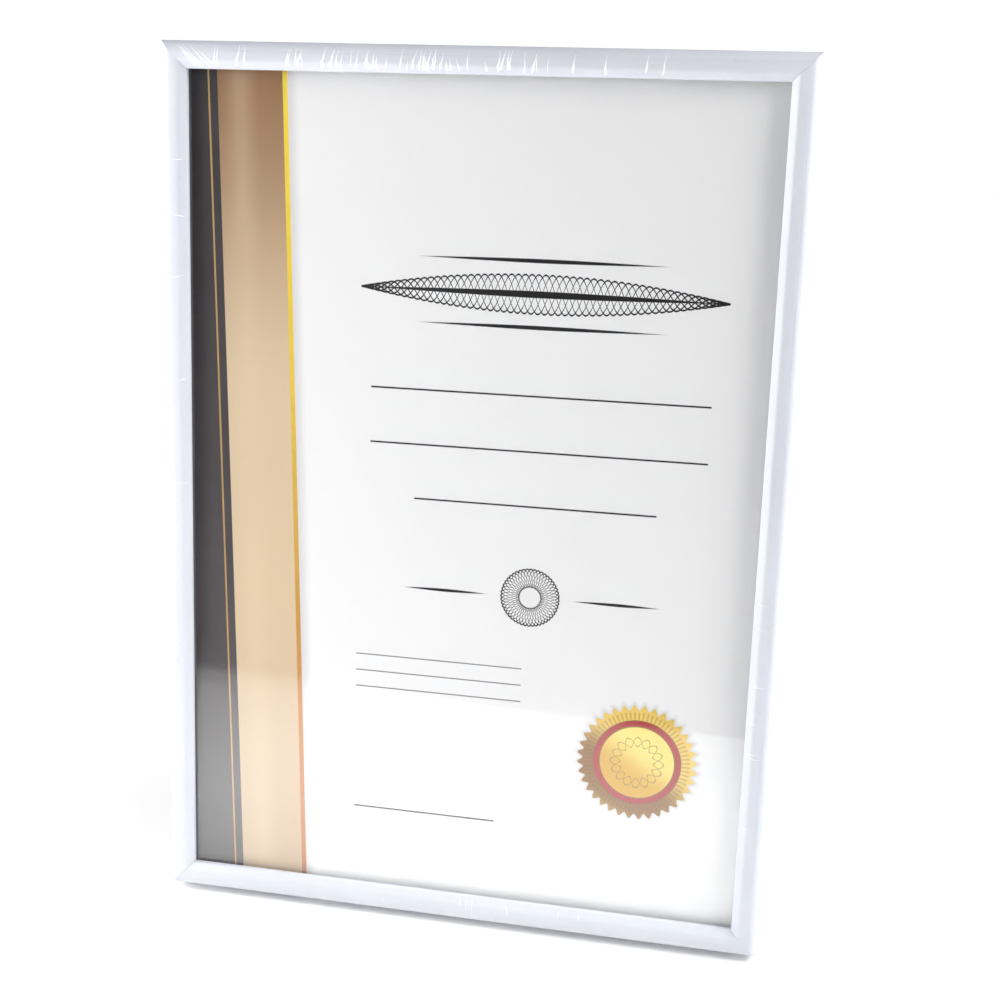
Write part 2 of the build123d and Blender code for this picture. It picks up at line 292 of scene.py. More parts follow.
slope = bulged(
    (0, moulding_depth - slope_drop),
    (slope_width, moulding_depth - step_height),
    slope_bulge,
)
section_corners = [
    ((slope_width + step_width, moulding_depth - step_height), crease_radius),
    ((slope_width + step_width, moulding_depth), crease_radius),
    ((face_width - bevel_width, moulding_depth), ridge_radius),
    ((face_width, moulding_depth - bevel_drop), sight_radius),
    ((face_width, seat_level), edge_radius),
    ((wall, seat_level), 0),
    ((wall, groove_high), edge_radius),
    ((wall - groove_depth, groove_high), 0),
    ((wall - groove_depth, groove_low), 0),
    ((wall, groove_low), edge_radius),
    ((wall, 0), edge_radius),
    ((0, 0), edge_radius),
]
corner_points = [corner for corner, radius in section_corners]
corner_radii = [radius for corner, radius in section_corners]
section_points = slope + rounded(
    corner_points + [tuple(point) for point in slope],
    corner_radii + [0] * len(slope),
)[: -len(slope)]
print("points in the section", len(section_points))

# %% [markdown]
# Geometry Nodes sweep the section along each side. The tree remembers two things before the sweep:
# where each point lies in the section, and how far along the side it is, from -1 to 1. After the
# sweep it sets every point by one rule: the half length of the side at that point is the outer half
# length less the distance inwards. That rule is the 45 degree mitre, with no cutting. The same tree
# makes all four sides; its named inputs say which way each one runs.


# %% A new geometry tree with named inputs
def geometry_tree(name, inputs):
    tree = bpy.data.node_groups.new(name, "GeometryNodeTree")
    tree.interface.new_socket("Geometry", in_out="INPUT", socket_type="NodeSocketGeometry")
    for label, kind in inputs.items():
        tree.interface.new_socket(label, in_out="INPUT", socket_type=kind)
    tree.interface.new_socket("Geometry", in_out="OUTPUT", socket_type="NodeSocketGeometry")
    given = tree.nodes.new("NodeGroupInput").outputs
    result = tree.nodes.new("NodeGroupOutput").inputs[0]
    return tree, given, result


def finish_tree(tree, geometry, material, result):
    """Every tree ends the same way: real geometry instead of instances, then the material."""
    real = add_node(tree, "GeometryNodeRealizeInstances", {0: geometry})
    wires = {"Geometry": real.outputs[0], "Material": material}
    dressed = add_node(tree, "GeometryNodeSetMaterial", wires)
    tree.links.new(dressed.outputs[0], result)


sharp_from = math.radians(35)


def shaded(tree, geometry):
    """Smooth shading that stops at the sharp edges."""
    smooth = add_node(tree, "GeometryNodeSetShadeSmooth", {"Geometry": geometry, "Shade Smooth": True})
    edge_angle = add_node(tree, "GeometryNodeInputMeshEdgeAngle").outputs["Unsigned Angle"]
    sharp = maths(tree, "GREATER_THAN", edge_angle, sharp_from)
    creased = add_node(
        tree,
        "GeometryNodeSetShadeSmooth",
        {"Geometry": smooth.outputs[0], "Selection": sharp, "Shade Smooth": False},
        domain="EDGE",
    )
    return creased.outputs[0]


def captured(tree, geometry, label):
    """The geometry with each point's place remembered, and the remembered place."""
    keep = add_node(tree, "GeometryNodeCaptureAttribute", {"Geometry": geometry})
    keep.capture_items.new("VECTOR", label)
    tree.links.new(add_node(tree, "GeometryNodeInputPosition").outputs[0], keep.inputs[1])
    return keep.outputs[0], keep.outputs[1]


def run_tree(source, tree, values, name):
    """Puts the tree on an object, sets its inputs by their identifiers, and keeps the plain result."""
    modifier = source.modifiers.new(tree.name, "NODES")
    modifier.node_group = tree
    for item in tree.interface.items_tree:
        if item.in_out == "INPUT" and item.name in values:
            modifier[item.identifier] = values[item.name]
    return plain_mesh(source, name)


# %% Sums on vectors for the geometry trees
def vector_maths(tree, operation, *values):
    wires = {}
    for index, value in enumerate(values):
        wires["Scale" if operation == "SCALE" and index == 1 else index] = value
    node = add_node(tree, "ShaderNodeVectorMath", wires, operation=operation)
    return node.outputs["Value" if operation in ("DOT_PRODUCT", "LENGTH") else "Vector"]


def vector_sum(tree, first, *others):
    for other in others:
        first = vector_maths(tree, "ADD", first, other)
    return first


# %% What every tree along a side shares
side_inputs = {
    "Middle": "NodeSocketVector",
    "Along": "NodeSocketVector",
    "Inwards": "NodeSocketVector",
    "Forwards": "NodeSocketVector",
    "Material": "NodeSocketMaterial",
}


def on_side(tree, run, inwards, level):
    """The place that lies so far along the side, inwards of it and above its back."""
    return vector_sum(
        tree,
        given["Middle"],
        vector_maths(tree, "SCALE", given["Along"], run),
        vector_maths(tree, "SCALE", given["Inwards"], inwards),
        vector_maths(tree, "SCALE", given["Forwards"], level),
    )


# %% The tree of the mitred moulding
mitred_side, given, result = geometry_tree(
    "mitred_side",
    {"Side length": "NodeSocketFloat", "Mitre gap": "NodeSocketFloat", **side_inputs},
)
tree = mitred_side
section_line, section_point = captured(tree, given["Geometry"], "Place in the section")
line = add_node(tree, "GeometryNodeCurvePrimitiveLine", {"Start": (-1, 0, 0), "End": (1, 0, 0)})
side_line, side_point = captured(tree, line.outputs[0], "Share of the side")
swept = add_node(
    tree,
    "GeometryNodeCurveToMesh",
    {"Curve": side_line, "Profile Curve": section_line, "Fill Caps": True},
)
section_place = add_node(tree, "ShaderNodeSeparateXYZ", {0: section_point})
side_share = add_node(tree, "ShaderNodeSeparateXYZ", {0: side_point})
inwards_distance = section_place.outputs["X"]
half_outside = maths(tree, "MULTIPLY", given["Side length"], 0.5)
half_length = maths(tree, "SUBTRACT", half_outside, inwards_distance)
half_length = maths(tree, "SUBTRACT", half_length, given["Mitre gap"])
run = maths(tree, "MULTIPLY", side_share.outputs["X"], half_length)
placed = on_side(tree, run, inwards_distance, section_place.outputs["Y"])
moved = add_node(tree, "GeometryNodeSetPosition", {"Geometry": swept.outputs[0], "Position": placed})
outwards = add_node(tree, "GeometryNodeFlipFaces", {0: moved.outputs[0]})
finish_tree(tree, shaded(tree, outwards.outputs[0]), given["Material"], result)

# %% Sweep the four sides
mitre_gap = 0.04 * mm
side_middles = {
    "rail_bottom": (Vector((0, 0, 0)), 0),
    "stile_right": (Vector((outer_width / 2, outer_height / 2, 0)), 1),
    "rail_top": (Vector((0, outer_height, 0)), 2),
    "stile_left": (Vector((-outer_width / 2, outer_height / 2, 0)), 3),
}


def outline_curve(points, closed=True):
    """An outline as a curve in its own plane."""
    curve = bpy.data.curves.new("outline", "CURVE")
    curve.dimensions = "3D"
    spline = curve.splines.new("POLY")
    spline.points.add(len(points) - 1)
    for target, point in zip(spline.points, points):
        target.co = (*point, 0, 1) if len(point) == 2 else (*point, 1)
    spline.use_cyclic_u = closed
    return linked_object("outline", curve)


def side_length_and_values(node, material):
    """Length of one side, and the inputs that say where it lies and what covers it."""
    middle, quarter_turns = side_middles[node]
    side_turn = turned @ Matrix.Rotation(math.pi / 2 * quarter_turns, 3, "Z")
    values = {
        "Middle": leaning @ middle,
        "Along": side_turn @ Vector((1, 0, 0)),
        "Inwards": side_turn @ Vector((0, 1, 0)),
        "Forwards": forwards,
        "Material": material,
    }
    return outer_height if quarter_turns % 2 else outer_width, values


for node in side_middles:
    side_length, values = side_length_and_values(node, white_wrap)
    values |= {"Side length": side_length, "Mitre gap": mitre_gap}
    piece = run_tree(outline_curve(section_points), mitred_side, values, "moulding_" + node)
    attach(piece, "frame")
    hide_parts(node)

# %% [markdown]
# The frame is still in its clear film, shrunk tight. The film itself can't be seen, only its fine
# creases, which run square to the sides, most of them on the top. Their white is a painted
# highlight: the near-white colour stands for the light that the folds of clear film catch. Each crease is
# a flat ridge
# that follows the moulding's own section for part of its width. A tree sets out one line of the
# section as often as the count says, trims each at random, and gives it a width that fades at both
# ends. The seed keeps the creases where they are from run to run.

# %% The tree of the film creases
film_creases, given, result = geometry_tree(
    "film_creases",
    {
        "Count": "NodeSocketInt",
        "Seed": "NodeSocketInt",
        "Centre": "NodeSocketFloat",
        "Reach": "NodeSocketFloat",
        "Earliest start": "NodeSocketFloat",
        "Latest end": "NodeSocketFloat",
        "Slant": "NodeSocketFloat",
        "Half width": "NodeSocketFloat",
        "Height": "NodeSocketFloat",
        **side_inputs,
    },
)
tree = film_creases


def chance(tree, low, high, offset):
    """A random number for each crease; offset keeps one draw apart from the next."""
    seed = maths(tree, "ADD", given["Seed"], offset)
    node = add_node(tree, "FunctionNodeRandomValue", {2: low, 3: high, "Seed": seed}, data_type="FLOAT")
    return node.outputs[1]


starts = add_node(tree, "GeometryNodePoints", {"Count": given["Count"]})
keep = add_node(tree, "GeometryNodeCaptureAttribute", {"Geometry": starts.outputs[0]})
first_place = maths(tree, "SUBTRACT", given["Centre"], given["Reach"])
last_place = maths(tree, "ADD", given["Centre"], given["Reach"])
start_spread = 0.26
end_spread = 0.14
slant_spread = 0.16
thinnest_share = 0.35
latest_start = maths(tree, "ADD", given["Earliest start"], start_spread)
earliest_end = maths(tree, "SUBTRACT", given["Latest end"], end_spread)
draws = {
    "Distance along": chance(tree, first_place, last_place, 0),
    "Trim at the start": chance(tree, given["Earliest start"], latest_start, 100),
    "Trim at the end": chance(tree, earliest_end, given["Latest end"], 200),
    "Slant": maths(tree, "ADD", chance(tree, -slant_spread, slant_spread, 300), given["Slant"]),
    "Width": chance(tree, thinnest_share, 1.0, 400),
}
for number, (label, drawn_value) in enumerate(draws.items()):
    keep.capture_items.new("FLOAT", label)
    tree.links.new(drawn_value, keep.inputs[number + 1])
distance, trim_start, trim_end, slant, width = keep.outputs[1:6]
fine_line = add_node(tree, "GeometryNodeResampleCurve", {"Curve": given["Geometry"], "Count": 32})
lines = add_node(
    tree,
    "GeometryNodeInstanceOnPoints",
    {"Points": keep.outputs[0], "Instance": fine_line.outputs[0]},
)
real_lines = add_node(tree, "GeometryNodeRealizeInstances", {0: lines.outputs[0]})
trimmed = add_node(
    tree,
    "GeometryNodeTrimCurve",
    {"Curve": real_lines.outputs[0], "Start": trim_start, "End": trim_end},
    mode="FACTOR",
)
tangent = add_node(tree, "GeometryNodeInputTangent").outputs[0]
tangent = add_node(tree, "ShaderNodeSeparateXYZ", {0: tangent})
outward = add_node(
    tree,
    "ShaderNodeCombineXYZ",
    {"X": maths(tree, "MULTIPLY", tangent.outputs["Y"], -1.0), "Y": tangent.outputs["X"]},
).outputs[0]
section_line, section_point = captured(tree, trimmed.outputs[0], "Place in the section")
keep_outward = add_node(tree, "GeometryNodeCaptureAttribute", {"Geometry": section_line})
keep_outward.capture_items.new("VECTOR", "Outward")
keep_outward.capture_items.new("FLOAT", "Share of the crease")
tree.links.new(outward, keep_outward.inputs[1])
tree.links.new(add_node(tree, "GeometryNodeSplineParameter").outputs["Factor"], keep_outward.inputs[2])
circle = add_node(tree, "GeometryNodeCurvePrimitiveCircle", {"Resolution": 8, "Radius": 1.0})
circle_line, circle_point = captured(tree, circle.outputs[0], "Place on the circle")
ridges = add_node(
    tree,
    "GeometryNodeCurveToMesh",
    {"Curve": keep_outward.outputs[0], "Profile Curve": circle_line, "Fill Caps": True},
)
along_crease = keep_outward.outputs[2]
flame_power = 2.0
tip_share = 0.2
grown = maths(tree, "POWER", along_crease, flame_power)
fade = maths(tree, "SINE", maths(tree, "MULTIPLY", grown, math.pi * (1 - tip_share)))
fade = maths(tree, "MULTIPLY", maths(tree, "ADD", fade, tip_share), width)
round_place = add_node(tree, "ShaderNodeSeparateXYZ", {0: circle_point})
section_place = add_node(tree, "ShaderNodeSeparateXYZ", {0: section_point})
wave_step = 900.0
ripple_scale = 260.0
own_wave = maths(tree, "MULTIPLY", distance, wave_step)
ripple = add_node(
    tree,
    "ShaderNodeTexNoise",
    {"W": own_wave, "Vector": section_point, "Scale": ripple_scale, "Detail": 1.0},
    noise_dimensions="4D",
).outputs["Fac"]
wander_reach = 1.6 * mm
wander = maths(tree, "MULTIPLY", maths(tree, "SUBTRACT", ripple, 0.5), wander_reach)
lean_over = maths(tree, "MULTIPLY", section_place.outputs["X"], slant)
half = maths(tree, "MULTIPLY", given["Half width"], fade)
half = maths(tree, "MULTIPLY", half, round_place.outputs["X"])
run = maths(tree, "ADD", maths(tree, "ADD", distance, lean_over), maths(tree, "ADD", wander, half))
swell = maths(tree, "MULTIPLY", given["Height"], fade)
swell = maths(tree, "MULTIPLY", swell, round_place.outputs["Y"])
risen = vector_maths(tree, "SCALE", keep_outward.outputs[1], swell)
in_section = vector_sum(tree, section_point, risen)
in_section = add_node(tree, "ShaderNodeSeparateXYZ", {0: in_section})
placed = on_side(tree, run, in_section.outputs["X"], in_section.outputs["Y"])
moved = add_node(tree, "GeometryNodeSetPosition", {"Geometry": ridges.outputs[0], "Position": placed})
outwards = add_node(tree, "GeometryNodeFlipFaces", {0: moved.outputs[0]})
finish_tree(tree, shaded(tree, outwards.outputs[0]), given["Material"], result)

# %% Film creases on the four sides
film_cloud_scale = 1500.0
film_relief = 0.01 * mm
film_crease, tree, shader, place = new_material("film_crease")
cloudy = noise(tree, place, film_cloud_scale, 2.0)
# The near-white of the creases is a painted highlight, for the light caught by the folds of clear film.
crease_painted_highlight = mixed(tree, cloudy, colour(244, 244, 248), colour(253, 253, 254))
tree.links.new(crease_painted_highlight, shader.inputs["Base Color"])
drifting_roughness(tree, shader, cloudy, 0.14, 0.24)
shader.inputs["Specular IOR Level"].default_value = 0.8
add_bump(tree, shader, cloudy, film_relief)
crease_half_width = 0.37 * mm
crease_height = 0.06 * mm
first_inwards = slope_width / 6
clear_of_seat = 1.0 * mm
lowest_level = seat_level + clear_of_seat
crease_line = [point for point in section_points if point.y > lowest_level and point.x > first_inwards]
crease_line = sorted(crease_line, key=lambda point: point.x)
bevel_end = 0.9
whole_end = 0.92
faint_share = 0.4
crease_groups = [
    # side, count, seed, centre, reach, earliest start, latest end, slant, width
    ("rail_top", 14, 11, -0.3, 0.36, 0.02, bevel_end, 0.15, 1.0),
    ("rail_top", 18, 12, 0.28, 0.2, 0.02, bevel_end, 0.15, 1.0),
    ("rail_top", 11, 13, 0.67, 0.15, 0.02, bevel_end, 0.1, 1.0),
    ("rail_top", 22, 18, 0.3, 0.32, 0.38, bevel_end, 0.0, 1.0),
    ("rail_top", 8, 14, 0.915, 0.05, 0.04, whole_end, -1.0, 0.9),
    ("stile_left", 5, 15, -0.3, 0.6, 0.2, whole_end, 0.0, faint_share),
    ("stile_right", 10, 16, -0.45, 0.3, 0.3, whole_end, 0.0, faint_share),
    ("rail_bottom", 6, 17, 0.3, 0.35, 0.3, whole_end, 0.0, faint_share),
]


def joined(pieces, name):
    """Several mesh pieces as one."""
    shape = bmesh.new()
    for piece in pieces:
        shape.from_mesh(piece.data)
    mesh = pieces[0].data.copy()
    shape.to_mesh(mesh)
    shape.free()
    for piece in pieces:
        bpy.data.objects.remove(piece)
    return linked_object(name, mesh)


crease_runs = []
for node, count, seed, centre_share, reach_share, *shares in crease_groups:
    start_share, end_share, slant_share, width_share = shares
    side_length, values = side_length_and_values(node, film_crease)
    half_side = side_length / 2
    values |= {
        "Count": count,
        "Seed": seed,
        "Centre": centre_share * half_side,
        "Reach": reach_share * half_side,
        "Earliest start": start_share,
        "Latest end": end_share,
        "Slant": slant_share,
        "Half width": width_share * crease_half_width,
        "Height": crease_height,
    }
    drawing = outline_curve(crease_line, closed=False)
    crease_runs.append(run_tree(drawing, film_creases, values, "creases_" + str(seed)))
creases = joined(crease_runs, "film_creases")
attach(creases, "frame")
print("creases", sum(group[1] for group in crease_groups), "faces", len(creases.data.polygons))

# %% [markdown]
# The glass is a flat sheet of float glass. On a white table it is seen by what it mirrors,
# not by itself. A true glass shader bends and scatters light and makes the sheet behind it noisy.
# A flat pane hardly bends anything, so it is made as a thin mirror over a clear surface: the Fresnel
# node says how much is mirrored, little head on and more at a slant, and the rest goes straight
# through. Only the face that a ray meets from outside mirrors, so its index stands for all the faces
# that lie there in truth: two of the glass, and two of the clear film that is shrunk over it.
# Faint smears change how sharp the mirror is.

# %% Float glass
smear_scale = 14.0
float_glass, tree, shader, place = new_material("float_glass")
shader.inputs["Base Color"].default_value = colour(252, 253, 253)
shader.inputs["Metallic"].default_value = 1.0
drifting_roughness(tree, shader, noise(tree, place, smear_scale, 5.0), 0.01, 0.08)
clear = add_node(tree, "ShaderNodeBsdfTransparent", {"Color": colour(254, 254, 254)})
all_faces_ior = 2.0
mirrored = add_node(tree, "ShaderNodeFresnel", {"IOR": all_faces_ior}).outputs[0]
from_inside = add_node(tree, "ShaderNodeNewGeometry").outputs["Backfacing"]
mirrored = maths(tree, "MULTIPLY", mirrored, maths(tree, "SUBTRACT", 1.0, from_inside))
shown = add_node(tree, "ShaderNodeMixShader", {0: mirrored, 1: clear.outputs[0], 2: shader.outputs[0]})
tree.links.new(shown.outputs[0], tree.nodes["Material Output"].inputs["Surface"])


def dress(node, material):
    """Gives a measured piece its material."""
    mesh = frame["nodes"][node].data
    mesh.materials.clear()
    mesh.materials.append(material)


glass_low, glass_high = lowest_highest("glazing", levelled)
air_gap = 0.08 * mm
arris = 0.3 * mm


def flat_plate(name, low, high, chamfer):
    """A flat plate between two corners of the leaning plane, its edges taken off."""
    corners = [
        Vector((x, y, z))
        for x in (low.x, high.x)
        for y in (low.y, high.y)
        for z in (low.z, high.z)
    ]
    faces = [(0, 1, 3, 2), (4, 6, 7, 5), (0, 4, 5, 1), (2, 3, 7, 6), (0, 2, 6, 4), (1, 5, 7, 3)]
    made = mesh_object(name, [leaning @ corner for corner in corners], faces)
    bevel = made.modifiers.new("arris", "BEVEL")
    bevel.width = chamfer
    bevel.segments = 2
    return plain_mesh(made, name)


glass_low.z += air_gap
pane = flat_plate("glass_pane", glass_low, glass_high, arris)
pane.data.materials.append(float_glass)
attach(pane, "frame")
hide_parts("glazing")

# %% [markdown]
# The sheet is a blank certificate: slanted bars in charcoal and bronze with a gold line on the left,
# a heading of engraved waves, lines to write on, a small rosette and a gold seal. The print is drawn
# by the material, because ink has colour but no thickness, and stays sharp at any size this way.
# A Mapping node first turns the coordinates into millimetres on the sheet, u to the right and v up,
# from its lower left corner. Each motif is then a mask, and the masks are laid over each other in
# the order in which a press would print them.

# %% Millimetres on the sheet
certificate_print, tree, shader, place = new_material("certificate_print")
sheet_corner = leaning @ Vector((sheet_low.x, sheet_low.y, sheet_high.z))
sheet_width = (sheet_high.x - sheet_low.x) / mm
sheet_height = (sheet_high.y - sheet_low.y) / mm
on_sheet = add_node(
    tree,
    "ShaderNodeMapping",
    {
        "Vector": place,
        "Location": sheet_corner,
        "Rotation": turned.to_euler(),
        "Scale": (mm, mm, mm),
    },
    vector_type="TEXTURE",
)
sheet_place = add_node(tree, "ShaderNodeSeparateXYZ", {0: on_sheet.outputs[0]})
u = sheet_place.outputs["X"]
v = sheet_place.outputs["Y"]
height_share = maths(tree, "DIVIDE", v, sheet_height)
print("sheet", round(sheet_width), "x", round(sheet_height), "mm")


# %% Masks for printed shapes
ink_edge = 0.06


def between(tree, value, low, high, soft=ink_edge):
    """1 where low < value < high."""
    above = soft_step(tree, value, maths(tree, "SUBTRACT", low, soft), maths(tree, "ADD", low, soft))
    below = soft_step(tree, value, maths(tree, "ADD", high, soft), maths(tree, "SUBTRACT", high, soft))
    return maths(tree, "MULTIPLY", above, below)


def rule_line(tree, centre_u, line_v, half_length, thickness):
    """A straight printed rule."""
    sideways = maths(tree, "ABSOLUTE", maths(tree, "SUBTRACT", u, centre_u))
    upright = maths(tree, "ABSOLUTE", maths(tree, "SUBTRACT", v, line_v))
    return maths(
        tree,
        "MULTIPLY",
        soft_step(tree, sideways, half_length + ink_edge, half_length - ink_edge),
        soft_step(tree, upright, thickness / 2 + ink_edge, thickness / 2 - ink_edge),
    )


def swelled_rule(tree, centre_u, line_v, half_length, thickness):
    """A printer's rule that swells towards its middle and tapers to points."""
    share = maths(tree, "DIVIDE", maths(tree, "SUBTRACT", u, centre_u), half_length)
    swell = maths(tree, "SUBTRACT", 1.0, maths(tree, "POWER", maths(tree, "ABSOLUTE", share), 1.6))
    half = maths(tree, "MULTIPLY", maths(tree, "MAXIMUM", swell, 0.0), thickness / 2)
    upright = maths(tree, "ABSOLUTE", maths(tree, "SUBTRACT", v, line_v))
    over = maths(tree, "SUBTRACT", half, upright)
    return soft_step(tree, over, 0.0, 2 * ink_edge)


def disc(tree, radius_field, radius, soft=ink_edge):
    return soft_step(tree, radius_field, radius + soft, radius - soft)


# %% Paper and the slanted bars
fibres = noise(tree, on_sheet.outputs[0], 2.4, 5.0, 0.6)
paper = mixed(tree, soft_step(tree, fibres, 0.25, 0.75), colour(250, 250, 251), colour(252, 252, 252))
bar_top = 14.5
bar_bottom = 23.5
bar_width = 23.0
gold_line_width = 1.7
charcoal_edge = maths(tree, "MULTIPLY_ADD", height_share, bar_top - bar_bottom, bar_bottom)
bronze_edge = maths(tree, "ADD", charcoal_edge, bar_width)
gold_edge = maths(tree, "ADD", bronze_edge, gold_line_width)
past_charcoal = maths(tree, "SUBTRACT", u, charcoal_edge)
past_bronze = maths(tree, "SUBTRACT", u, bronze_edge)
past_gold = maths(tree, "SUBTRACT", u, gold_edge)
charcoal = mixed(tree, soft_step(tree, height_share, 0.95, 0.1), colour(58, 52, 55), colour(84, 77, 80))
bronze = mixed(tree, soft_step(tree, height_share, 1.0, 0.6), colour(156, 116, 80), colour(224, 202, 168))
bronze = mixed(tree, soft_step(tree, height_share, 0.4, 0.05), bronze, colour(204, 180, 148))
sheen = between(tree, past_charcoal, 5.0, 11.0, 5.0)
bronze = mixed(tree, maths(tree, "MULTIPLY", sheen, 0.3), bronze, colour(238, 216, 182))
gold = mixed(tree, soft_step(tree, height_share, 0.9, 0.1), colour(247, 220, 70), colour(196, 128, 72))
shade = maths(tree, "MULTIPLY", soft_step(tree, past_gold, 4.5, 0.0), 0.35)
printed = mixed(tree, shade, paper, colour(176, 168, 168))
printed = mixed(tree, soft_step(tree, past_gold, ink_edge, -ink_edge), printed, gold)
printed = mixed(tree, soft_step(tree, past_bronze, ink_edge, -ink_edge), printed, bronze)
printed = mixed(tree, soft_step(tree, past_charcoal, ink_edge, -ink_edge), printed, charcoal)
pinstripe = between(tree, past_charcoal, -3.4, -2.8)
printed = mixed(tree, pinstripe, printed, colour(200, 160, 96))
print("the bars slant by", bar_bottom - bar_top, "mm")


# %% Interlaced waves, as engraved on certificates
def wave_line(tree, centre_u, line_v, half_length, height, waves, phase, thickness):
    """One wavy line that is highest in its middle and runs out to a point at each end."""
    share = maths(tree, "DIVIDE", maths(tree, "SUBTRACT", u, centre_u), half_length)
    swell = maths(tree, "SUBTRACT", 1.0, maths(tree, "MULTIPLY", share, share))
    swell = maths(tree, "MAXIMUM", swell, 0.0)
    wave = maths(tree, "SINE", maths(tree, "MULTIPLY_ADD", share, math.pi * waves, phase))
    rise = maths(tree, "MULTIPLY", maths(tree, "MULTIPLY", wave, swell), height)
    above_line = maths(tree, "SUBTRACT", v, line_v)
    distance = maths(tree, "ABSOLUTE", maths(tree, "SUBTRACT", above_line, rise))
    drawn = soft_step(tree, distance, thickness / 2 + 2 * ink_edge, thickness / 2 - ink_edge)
    return maths(tree, "MULTIPLY", drawn, maths(tree, "GREATER_THAN", swell, 0.0))


def ring_wave(tree, distance, angle, radius, height, waves, phase, thickness):
    """One wavy line round a centre."""
    wave = maths(tree, "COSINE", maths(tree, "MULTIPLY_ADD", angle, waves, phase))
    off = maths(tree, "SUBTRACT", distance, maths(tree, "MULTIPLY_ADD", wave, height, radius))
    off = maths(tree, "ABSOLUTE", off)
    return soft_step(tree, off, thickness / 2 + 2 * ink_edge, thickness / 2 - ink_edge)


def from_centre(tree, centre_u, centre_v):
    """Distance and angle from a point on the sheet, with the two offsets."""
    across_sheet = maths(tree, "SUBTRACT", u, centre_u)
    up_sheet = maths(tree, "SUBTRACT", v, centre_v)
    squares = maths(tree, "MULTIPLY", across_sheet, across_sheet)
    squares = maths(tree, "MULTIPLY_ADD", up_sheet, up_sheet, squares)
    distance = maths(tree, "SQRT", squares)
    return distance, maths(tree, "ARCTAN2", up_sheet, across_sheet), across_sheet, up_sheet


# %% Heading
text_centre = 128.0
ink = colour(26, 25, 27)
wave_phases = [math.pi * number / 3 for number in range(6)]
heading_v = 222.0
heading_half = 62.0
heading_rise = 6.5
heading_waves = 9.0
heading_line = 0.55
rule_gap = 11.0
heading_rules = [
    # centre, height on the sheet, half length, thickness
    (text_centre, heading_v, heading_half, 2.4),
    (text_centre, heading_v + rule_gap, 44.0, 1.5),
    (text_centre, heading_v - rule_gap, 44.0, 1.5),
]
heading_shape = (text_centre, heading_v, heading_half, heading_rise, heading_waves)
black_marks = [wave_line(tree, *heading_shape, phase, heading_line) for phase in wave_phases]
black_marks += [swelled_rule(tree, *measures) for measures in heading_rules]
print("heading marks", len(black_marks))

# %% Writing lines and rosette
pale_ink = colour(120, 118, 120)
writing_lines = [
    # centre, height on the sheet, half length, thickness
    (text_centre, 188.0, 58.0, 0.6),
    (text_centre, 169.0, 58.0, 0.6),
    (text_centre, 150.0, 42.0, 0.6),
    (92.0, 34.0, 26.0, 0.6),
]
rosette_v = 118.0
rosette_radius = 7.0
rosette_rise = 3.2
rosette_waves = 8
rosette_line = 0.5
rosette_shape = (rosette_radius, rosette_rise, rosette_waves)
rosette_distance, rosette_angle, *offsets = from_centre(tree, text_centre, rosette_v)
black_marks += [rule_line(tree, *measures) for measures in writing_lines]
black_marks += [
    ring_wave(tree, rosette_distance, rosette_angle, *rosette_shape, phase, rosette_line)
    for phase in wave_phases
]
rosette_rule_offset = 30.0
for offset in (-rosette_rule_offset, rosette_rule_offset):
    black_marks.append(swelled_rule(tree, text_centre + offset, rosette_v, 16.0, 1.2))
for mark in black_marks:
    printed = mixed(tree, mark, printed, ink)
pale_line_heights = (92.0, 86.0, 80.0)
for line_v in pale_line_heights:
    printed = mixed(tree, rule_line(tree, 96.0, line_v, 30.0, 0.4), printed, pale_ink)
print("black marks", len(black_marks), "pale lines", len(pale_line_heights))

# %% Gold seal with a toothed rim and a red ring
seal_u = 168.0
seal_v = 62.0
seal_radius = 20.0
tooth_depth = 0.9
teeth = 36
seal_distance, seal_angle, seal_x, seal_y = from_centre(tree, seal_u, seal_v)


def petals(count):
    """A wave of count crests round the seal."""
    return maths(tree, "COSINE", maths(tree, "MULTIPLY", seal_angle, count))


toothed = maths(tree, "ADD", seal_distance, maths(tree, "MULTIPLY", petals(teeth), tooth_depth))
slant = maths(tree, "ADD", maths(tree, "MULTIPLY", seal_x, 0.55), maths(tree, "MULTIPLY", seal_y, 0.83))
gold_sheen = soft_step(tree, maths(tree, "SINE", maths(tree, "MULTIPLY", slant, 0.14)), -0.9, 0.9)
rim_gold = mixed(tree, gold_sheen, colour(150, 104, 36), colour(244, 212, 110))
disc_gold = mixed(tree, gold_sheen, colour(222, 178, 58), colour(250, 232, 128))
shadow_reach = 1.2
shadow_edge = 1.6
shadow_share = 0.3
seal_shadow = disc(tree, toothed, seal_radius + shadow_reach, shadow_edge)
seal_shadow = maths(tree, "MULTIPLY", seal_shadow, shadow_share)
printed = mixed(tree, seal_shadow, printed, colour(140, 132, 126))
printed = mixed(tree, disc(tree, toothed, seal_radius), printed, rim_gold)

# %% Rays, rings and loops of the seal
disc_radius = 13.0
disc_rim = 13.4
ring_rim = 15.2
ring_line = 15.5
rays_from = 15.6
rays_to = 18.4
ray_share = 0.35
loops = 8
loop_radius = 7.6
loop_rise = 1.7
loop_thickness = 0.4
loop_share = 0.7
rays = maths(tree, "MULTIPLY", soft_step(tree, petals(2 * teeth), -0.2, 0.6), ray_share)
ray_zone = between(tree, seal_distance, rays_from, rays_to)
printed = mixed(tree, maths(tree, "MULTIPLY", rays, ray_zone), printed, colour(112, 70, 22))
printed = mixed(tree, between(tree, seal_distance, disc_rim, ring_rim), printed, colour(176, 30, 36))
printed = mixed(tree, between(tree, seal_distance, ring_rim, ring_line), printed, colour(120, 78, 24))
printed = mixed(tree, disc(tree, seal_distance, disc_rim), printed, colour(128, 84, 26))
printed = mixed(tree, disc(tree, seal_distance, disc_radius), printed, disc_gold)
loop_shape = (loop_radius, loop_rise, loops)
for phase in (0.0, math.pi):
    loop_line = ring_wave(tree, seal_distance, seal_angle, *loop_shape, phase, loop_thickness)
    printed = mixed(tree, maths(tree, "MULTIPLY", loop_line, loop_share), printed, colour(150, 104, 36))
